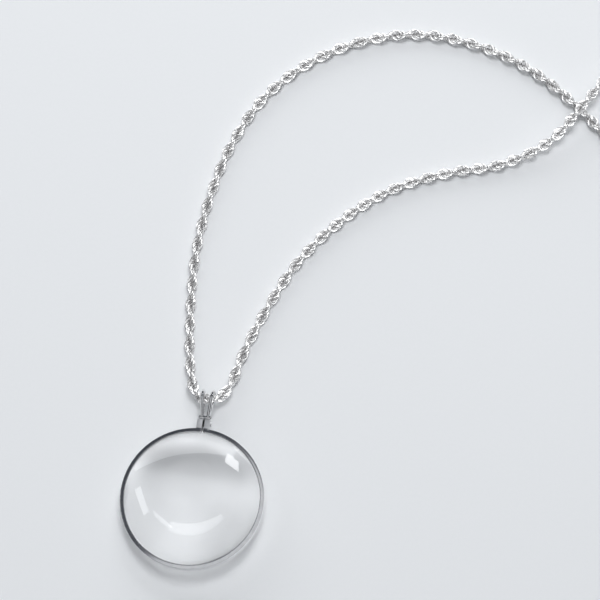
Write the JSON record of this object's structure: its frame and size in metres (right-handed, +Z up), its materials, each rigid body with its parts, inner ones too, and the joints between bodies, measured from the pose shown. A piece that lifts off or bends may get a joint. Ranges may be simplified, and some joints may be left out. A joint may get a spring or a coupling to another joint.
{
  "type": "magnifier pendant necklace",
  "caption": "Round magnifying lens in a split metal rim, hung by a two-eared wire bail on a long rope chain, lying on a surface.",
  "frame": {"origin": "on the surface that the piece lies on, under the middle of its bounding box", "axes": "+Z up from the surface, +X along the whole necklace from the pendant to the clasp, +Y across it towards the upper loop"},
  "size_m": [0.2813, 0.2158, 0.0119],
  "materials": {
    "lens_glass": "polished clear crown glass",
    "rim_silver": "polished silver plate with a fine turned grain and a satin lug",
    "bail_silver": "polished silver plate",
    "chain_silver": "bright silver plate",
    "clasp_silver": "polished silver plate"
  },
  "bodies": {
    "root": {"lens": "lens_glass", "rim": "rim_silver", "lug_screw": "bail_silver", "bail": "bail_silver", "chain_left": "chain_silver", "chain_right": "chain_silver", "end_cap_left": "clasp_silver", "end_cap_right": "clasp_silver", "clasp": "clasp_silver"}
  },
  "joints": []
}
